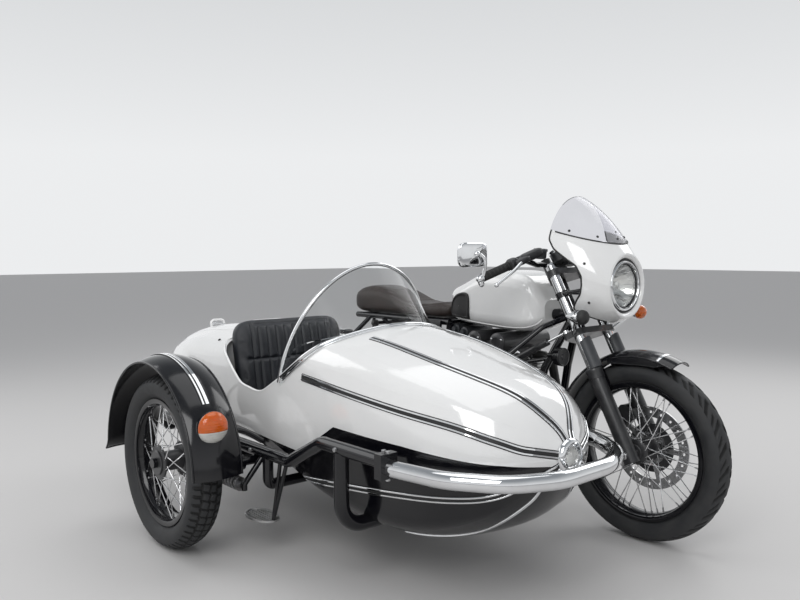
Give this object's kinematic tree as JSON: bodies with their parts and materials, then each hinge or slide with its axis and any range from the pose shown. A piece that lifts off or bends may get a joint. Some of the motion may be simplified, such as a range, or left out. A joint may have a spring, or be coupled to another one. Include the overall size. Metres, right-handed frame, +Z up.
{
  "type": "cafe racer motorcycle with sidecar",
  "caption": "Cafe racer motorcycle with a half fairing, solo seat and a bolted-on passenger sidecar on a tubular chassis; rolls on wheels.",
  "frame": {"origin": "centre of the outfit's floor footprint, on the ground", "axes": "+X forward, +Y to the rider's left, +Z up; the sidecar is on -Y"},
  "size_m": [2.464, 1.935, 1.2797],
  "materials": {
    "tyre_rubber": "matt",
    "black_rubber": "matt",
    "black_enamel": "gloss",
    "white_enamel": "gloss",
    "chrome_plate": "polished",
    "bright_steel": "satin",
    "cast_alloy": "satin",
    "black_alloy": "satin",
    "dark_leather": "satin",
    "clear_sheet": "polished",
    "smoked_sheet": "polished",
    "lamp_lens": "polished",
    "black_plastic": "satin"
  },
  "bodies": {
    "machine": {"crankcase": "black_alloy", "cylinders": "black_alloy", "cylinder_head": "black_alloy", "carburettors": "cast_alloy", "exhausts": "black_enamel", "main_frame": "black_enamel", "fuel_tank": "white_enamel", "knee_pads": "black_rubber", "seat": "dark_leather", "side_panels": "black_enamel", "swingarm": "black_enamel", "rear_shocks": "bright_steel", "drive_chain": "bright_steel", "footrests": "black_rubber", "rear_mudguard": "black_enamel", "tail_lamp": "lamp_lens", "horn": "black_enamel", "upper_shell": "white_enamel", "lower_hull": "black_enamel", "sidecar_seat": "dark_leather", "windscreen_frame": "chrome_plate", "windscreen": "clear_sheet", "front_bumper": "chrome_plate", "side_rails": "black_enamel", "cross_members": "black_enamel", "mounting_struts": "black_enamel", "wheel_guard": "black_enamel", "sidecar_lamps": "lamp_lens", "entry_step": "cast_alloy", "trailing_arm": "black_enamel", "sidecar_shock": "bright_steel"},
    "fork": {"fork_yokes": "black_alloy", "stanchions": "chrome_plate", "front_axle": "bright_steel", "fork_sliders": "black_enamel", "handlebar": "black_enamel", "front_mudguard": "black_enamel", "front_caliper": "black_alloy", "grips": "black_rubber", "levers": "bright_steel", "mirrors": "chrome_plate", "headlamp": "chrome_plate", "fairing": "white_enamel", "fairing_screen": "smoked_sheet", "fairing_bracket": "black_enamel", "gauges": "black_plastic", "front_indicators": "lamp_lens"},
    "front_wheel_set": {"front_tyre": "tyre_rubber", "front_wheel": "black_enamel", "brake_disc": "bright_steel"},
    "rear_wheel_set": {"rear_tyre": "tyre_rubber", "rear_wheel": "black_enamel"},
    "sidecar_wheel_set": {"sidecar_tyre": "tyre_rubber", "sidecar_wheel": "black_enamel"},
    "damper_barrel": {"damper_body": "black_alloy"},
    "damper_shaft": {"damper_rod": "chrome_plate"},
    "lid": {"boot_lid": "white_enamel"}
  },
  "joints": [
    {"name": "steering", "type": "hinge", "parent": "machine", "child": "fork", "pos_m": [1.011, 0.464, 0], "axis": [-0.4695, 0, 0.8829], "range_deg": [-32, 32]},
    {"name": "front_wheel_spin", "type": "hinge", "parent": "fork", "child": "front_wheel_set", "pos_m": [0.901, 0.464, 0.331], "axis": [0, 1, 0], "continuous": true},
    {"name": "rear_wheel_spin", "type": "hinge", "parent": "machine", "child": "rear_wheel_set", "pos_m": [-0.592, 0.464, 0.32], "axis": [0, 1, 0], "continuous": true},
    {"name": "sidecar_wheel_spin", "type": "hinge", "parent": "machine", "child": "sidecar_wheel_set", "pos_m": [-0.192, -0.88, 0.313], "axis": [0, 1, 0], "continuous": true},
    {"name": "damper_swing", "type": "hinge", "parent": "machine", "child": "damper_barrel", "pos_m": [0.4064, 0.324, 0.6322], "axis": [-0.4695, 0, 0.8829], "range_deg": [-2, 2]},
    {"name": "damper_stroke", "type": "slide", "parent": "damper_barrel", "child": "damper_shaft", "axis": [0.8799, 0.0837, 0.4678], "range_m": [-0.065, 0.065]},
    {"name": "boot_lid_hinge", "type": "hinge", "parent": "machine", "child": "lid", "pos_m": [-0.458, -0.276, 0.765], "axis": [0, 1, 0], "range_deg": [0, 70]}
  ],
  "couplings": [
    {"joint": "damper_swing", "follows": "steering", "ratio": 0.0547},
    {"joint": "damper_stroke", "follows": "steering", "m_per_rad": 0.1142}
  ]
}
